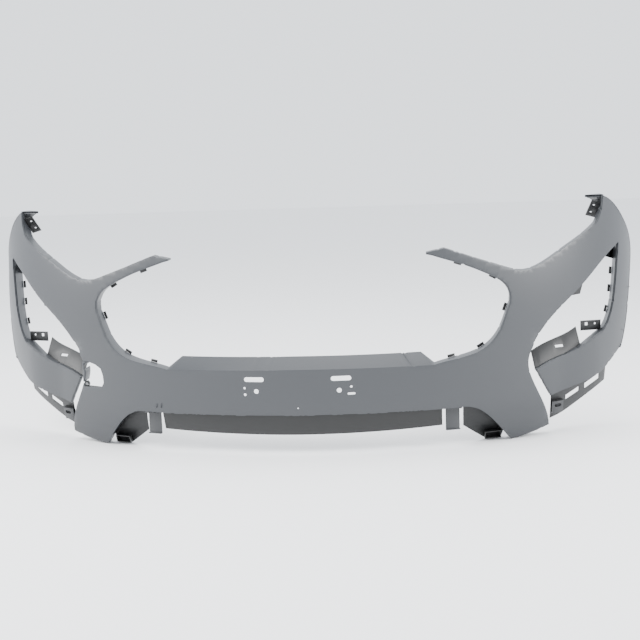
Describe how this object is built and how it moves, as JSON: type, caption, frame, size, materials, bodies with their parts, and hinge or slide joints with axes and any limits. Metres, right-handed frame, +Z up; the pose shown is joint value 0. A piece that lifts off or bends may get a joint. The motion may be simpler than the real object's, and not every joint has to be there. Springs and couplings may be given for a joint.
{
  "type": "front bumper cover",
  "caption": "Unpainted front bumper cover for a compact sports utility car, open for grille and fog lamps, with a raw plastic lower lip.",
  "frame": {"origin": "middle of the bounding box at its lowest level", "axes": "+X towards the car's left, +Y towards the car's rear (the cover faces -Y), +Z up"},
  "size_m": [1.742, 0.4961, 0.5997],
  "materials": {
    "primer": "satin grey primer on moulded plastic",
    "lip_plastic": "grained raw plastic",
    "black_plastic": "satin moulded plastic",
    "grey_plastic": "plain grey moulded plastic",
    "clip_plastic": "plain moulded plastic",
    "rivet_plastic": "plain moulded plastic"
  },
  "bodies": {
    "root": {"fascia": "primer", "lower_lip": "lip_plastic", "lip_rivets": "rivet_plastic", "lip_bracket_left": "grey_plastic", "lip_bracket_right": "grey_plastic", "corner_wall_left": "black_plastic", "corner_wall_right": "black_plastic", "corner_box_left": "black_plastic", "corner_box_right": "black_plastic", "wing_bracket_left": "black_plastic", "wing_bracket_right": "black_plastic", "lamp_shelf_left": "black_plastic", "lamp_shelf_right": "black_plastic", "lamp_plate_left": "black_plastic", "lamp_plate_right": "black_plastic", "upper_gusset_left": "black_plastic", "upper_gusset_right": "black_plastic", "mid_gusset_left": "black_plastic", "mid_gusset_right": "black_plastic", "carrier_left": "black_plastic", "carrier_right": "black_plastic", "side_mount_left": "grey_plastic", "side_mount_right": "grey_plastic", "tow_frame": "black_plastic", "grille_clips_left": "clip_plastic", "grille_clips_right": "clip_plastic", "lamp_clips_left": "clip_plastic", "lamp_clips_right": "clip_plastic"}
  },
  "joints": []
}
